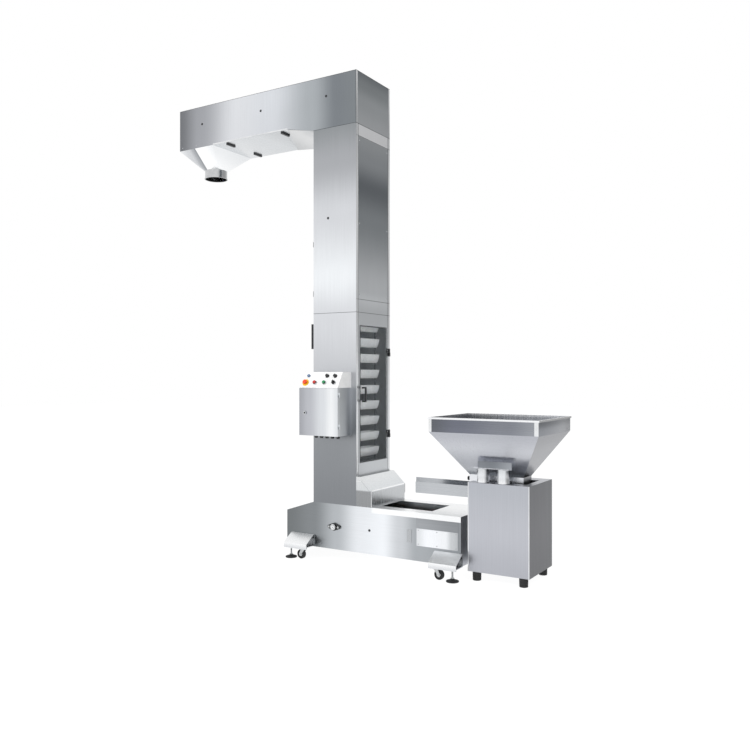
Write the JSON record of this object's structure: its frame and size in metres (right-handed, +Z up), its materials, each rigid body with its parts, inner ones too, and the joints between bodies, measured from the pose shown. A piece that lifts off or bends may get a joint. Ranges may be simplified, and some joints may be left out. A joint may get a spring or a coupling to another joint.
{
  "type": "bucket elevator",
  "caption": "Z-type bucket elevator in stainless sheet, with a bucket chain behind a clear door, control box, casters and a vibratory feeder on its own stand.",
  "frame": {"origin": "on the floor, under the middle of the machine's bounding box", "axes": "+X from the discharge arm towards the feeder, +Y away from the control box, +Z up"},
  "size_m": [3.678, 0.894, 4.141],
  "materials": {
    "brushed_panel": "brushed stainless sheet",
    "bright_sheet": "bright stainless sheet",
    "feeder_sheet": "brushed stainless sheet",
    "feeder_bright": "fine brushed stainless sheet",
    "black_casting": "black painted casting",
    "foot_black": "black nylon pad, zinc stud",
    "zinc_plate": "bright zinc plate",
    "black_plastic": "black glass-filled nylon",
    "clear_pane": "clear polycarbonate",
    "polished_spout": "polished stainless tube",
    "console_enamel": "white powder coat",
    "control_black": "black moulded fittings",
    "estop_red": "red moulded plastic",
    "push_red": "red moulded plastic",
    "push_green": "green moulded plastic",
    "selector_black": "black moulded plastic",
    "chain_steel": "oiled steel chain",
    "bucket_white": "white polypropylene",
    "rubber_black": "black rubber",
    "vibrator_grey": "grey painted casting",
    "spring_steel": "polished steel cover",
    "wheel_rubber": "black wheel"
  },
  "bodies": {
    "root": {"base_side_front": "brushed_panel", "base_side_back": "brushed_panel", "base_ends": "brushed_panel", "base_slope_cover": "brushed_panel", "base_floor": "brushed_panel", "column_front": "brushed_panel", "column_back": "brushed_panel", "column_left": "brushed_panel", "column_right_panels": "brushed_panel", "arm_front": "brushed_panel", "arm_back": "brushed_panel", "arm_top": "brushed_panel", "arm_ends": "brushed_panel", "control_box": "brushed_panel", "base_deck": "bright_sheet", "tail_covers": "bright_sheet", "outriggers": "bright_sheet", "window_frame": "bright_sheet", "inlet_hood": "bright_sheet", "arm_floor": "bright_sheet", "discharge_hopper": "bright_sheet", "shaft_bearings": "black_casting", "levelling_feet": "foot_black", "caster_plates": "zinc_plate", "window_hinges": "black_plastic", "hood_handle": "black_plastic", "cover_latches": "black_plastic", "discharge_spout": "polished_spout", "console": "console_enamel", "control_fittings": "control_black", "cable_glands": "black_plastic", "chains": "chain_steel", "sprockets": "chain_steel", "feed_buckets": "bucket_white", "buckets": "bucket_white", "feeder_stand": "feeder_sheet", "feeder_top": "feeder_sheet", "feeder_feet": "rubber_black", "vibrator": "vibrator_grey", "spring_mounts": "spring_steel", "feeder_trough": "feeder_bright", "feed_hopper": "feeder_bright"},
    "window_leaf": {"window_door": "clear_pane", "window_handle": "black_plastic"},
    "control_leaf": {"control_door": "brushed_panel"},
    "estop": {"estop_button": "estop_red"},
    "red_push": {"red_button": "push_red"},
    "green_push": {"green_button": "push_green"},
    "selector": {"selector_knob": "selector_black"},
    "fork_left_front": {"fork_left_front": "zinc_plate"},
    "wheel_left_front": {"wheel_left_front": "wheel_rubber"},
    "fork_left_back": {"fork_left_back": "zinc_plate"},
    "wheel_left_back": {"wheel_left_back": "wheel_rubber"},
    "fork_right_front": {"fork_right_front": "zinc_plate"},
    "wheel_right_front": {"wheel_right_front": "wheel_rubber"},
    "fork_right_back": {"fork_right_back": "zinc_plate"},
    "wheel_right_back": {"wheel_right_back": "wheel_rubber"}
  },
  "joints": [
    {"name": "window_swing", "type": "hinge", "parent": "root", "child": "window_leaf", "pos_m": [0.2245, 0.28206, 1.418], "axis": [0, 0, 1], "range_deg": [0, 110]},
    {"name": "control_door_swing", "type": "hinge", "parent": "root", "child": "control_leaf", "pos_m": [0.163, -0.41594, 1.277], "axis": [0, 0, 1], "range_deg": [0, 110]},
    {"name": "estop_press", "type": "slide", "parent": "root", "child": "estop", "axis": [0, 0.8621, -0.5067], "range_m": [0, 0.005], "stiffness_N_per_m": 400, "springref_m": -0.003},
    {"name": "red_press", "type": "slide", "parent": "root", "child": "red_push", "axis": [0, 0.8621, -0.5067], "range_m": [0, 0.005], "stiffness_N_per_m": 400, "springref_m": -0.003},
    {"name": "green_press", "type": "slide", "parent": "root", "child": "green_push", "axis": [0, 0.8621, -0.5067], "range_m": [0, 0.005], "stiffness_N_per_m": 400, "springref_m": -0.003},
    {"name": "selector_turn", "type": "hinge", "parent": "root", "child": "selector", "pos_m": [0.106, -0.41107, 1.51761], "axis": [0, -0.8621, 0.5067], "range_deg": [-45, 45]},
    {"name": "swivel_left_front", "type": "hinge", "parent": "root", "child": "fork_left_front", "pos_m": [-0.277, -0.30894, 0.092], "axis": [0, 0, 1], "continuous": true},
    {"name": "roll_left_front", "type": "hinge", "parent": "fork_left_front", "child": "wheel_left_front", "pos_m": [-0.303, -0.30894, 0.042], "axis": [0, 1, 0], "continuous": true},
    {"name": "swivel_left_back", "type": "hinge", "parent": "root", "child": "fork_left_back", "pos_m": [-0.277, 0.39706, 0.092], "axis": [0, 0, 1], "continuous": true},
    {"name": "roll_left_back", "type": "hinge", "parent": "fork_left_back", "child": "wheel_left_back", "pos_m": [-0.303, 0.39706, 0.042], "axis": [0, 1, 0], "continuous": true},
    {"name": "swivel_right_front", "type": "hinge", "parent": "root", "child": "fork_right_front", "pos_m": [0.999, -0.30894, 0.092], "axis": [0, 0, 1], "continuous": true},
    {"name": "roll_right_front", "type": "hinge", "parent": "fork_right_front", "child": "wheel_right_front", "pos_m": [1.025, -0.30894, 0.042], "axis": [0, 1, 0], "continuous": true},
    {"name": "swivel_right_back", "type": "hinge", "parent": "root", "child": "fork_right_back", "pos_m": [0.999, 0.39706, 0.092], "axis": [0, 0, 1], "continuous": true},
    {"name": "roll_right_back", "type": "hinge", "parent": "fork_right_back", "child": "wheel_right_back", "pos_m": [1.025, 0.39706, 0.042], "axis": [0, 1, 0], "continuous": true}
  ]
}
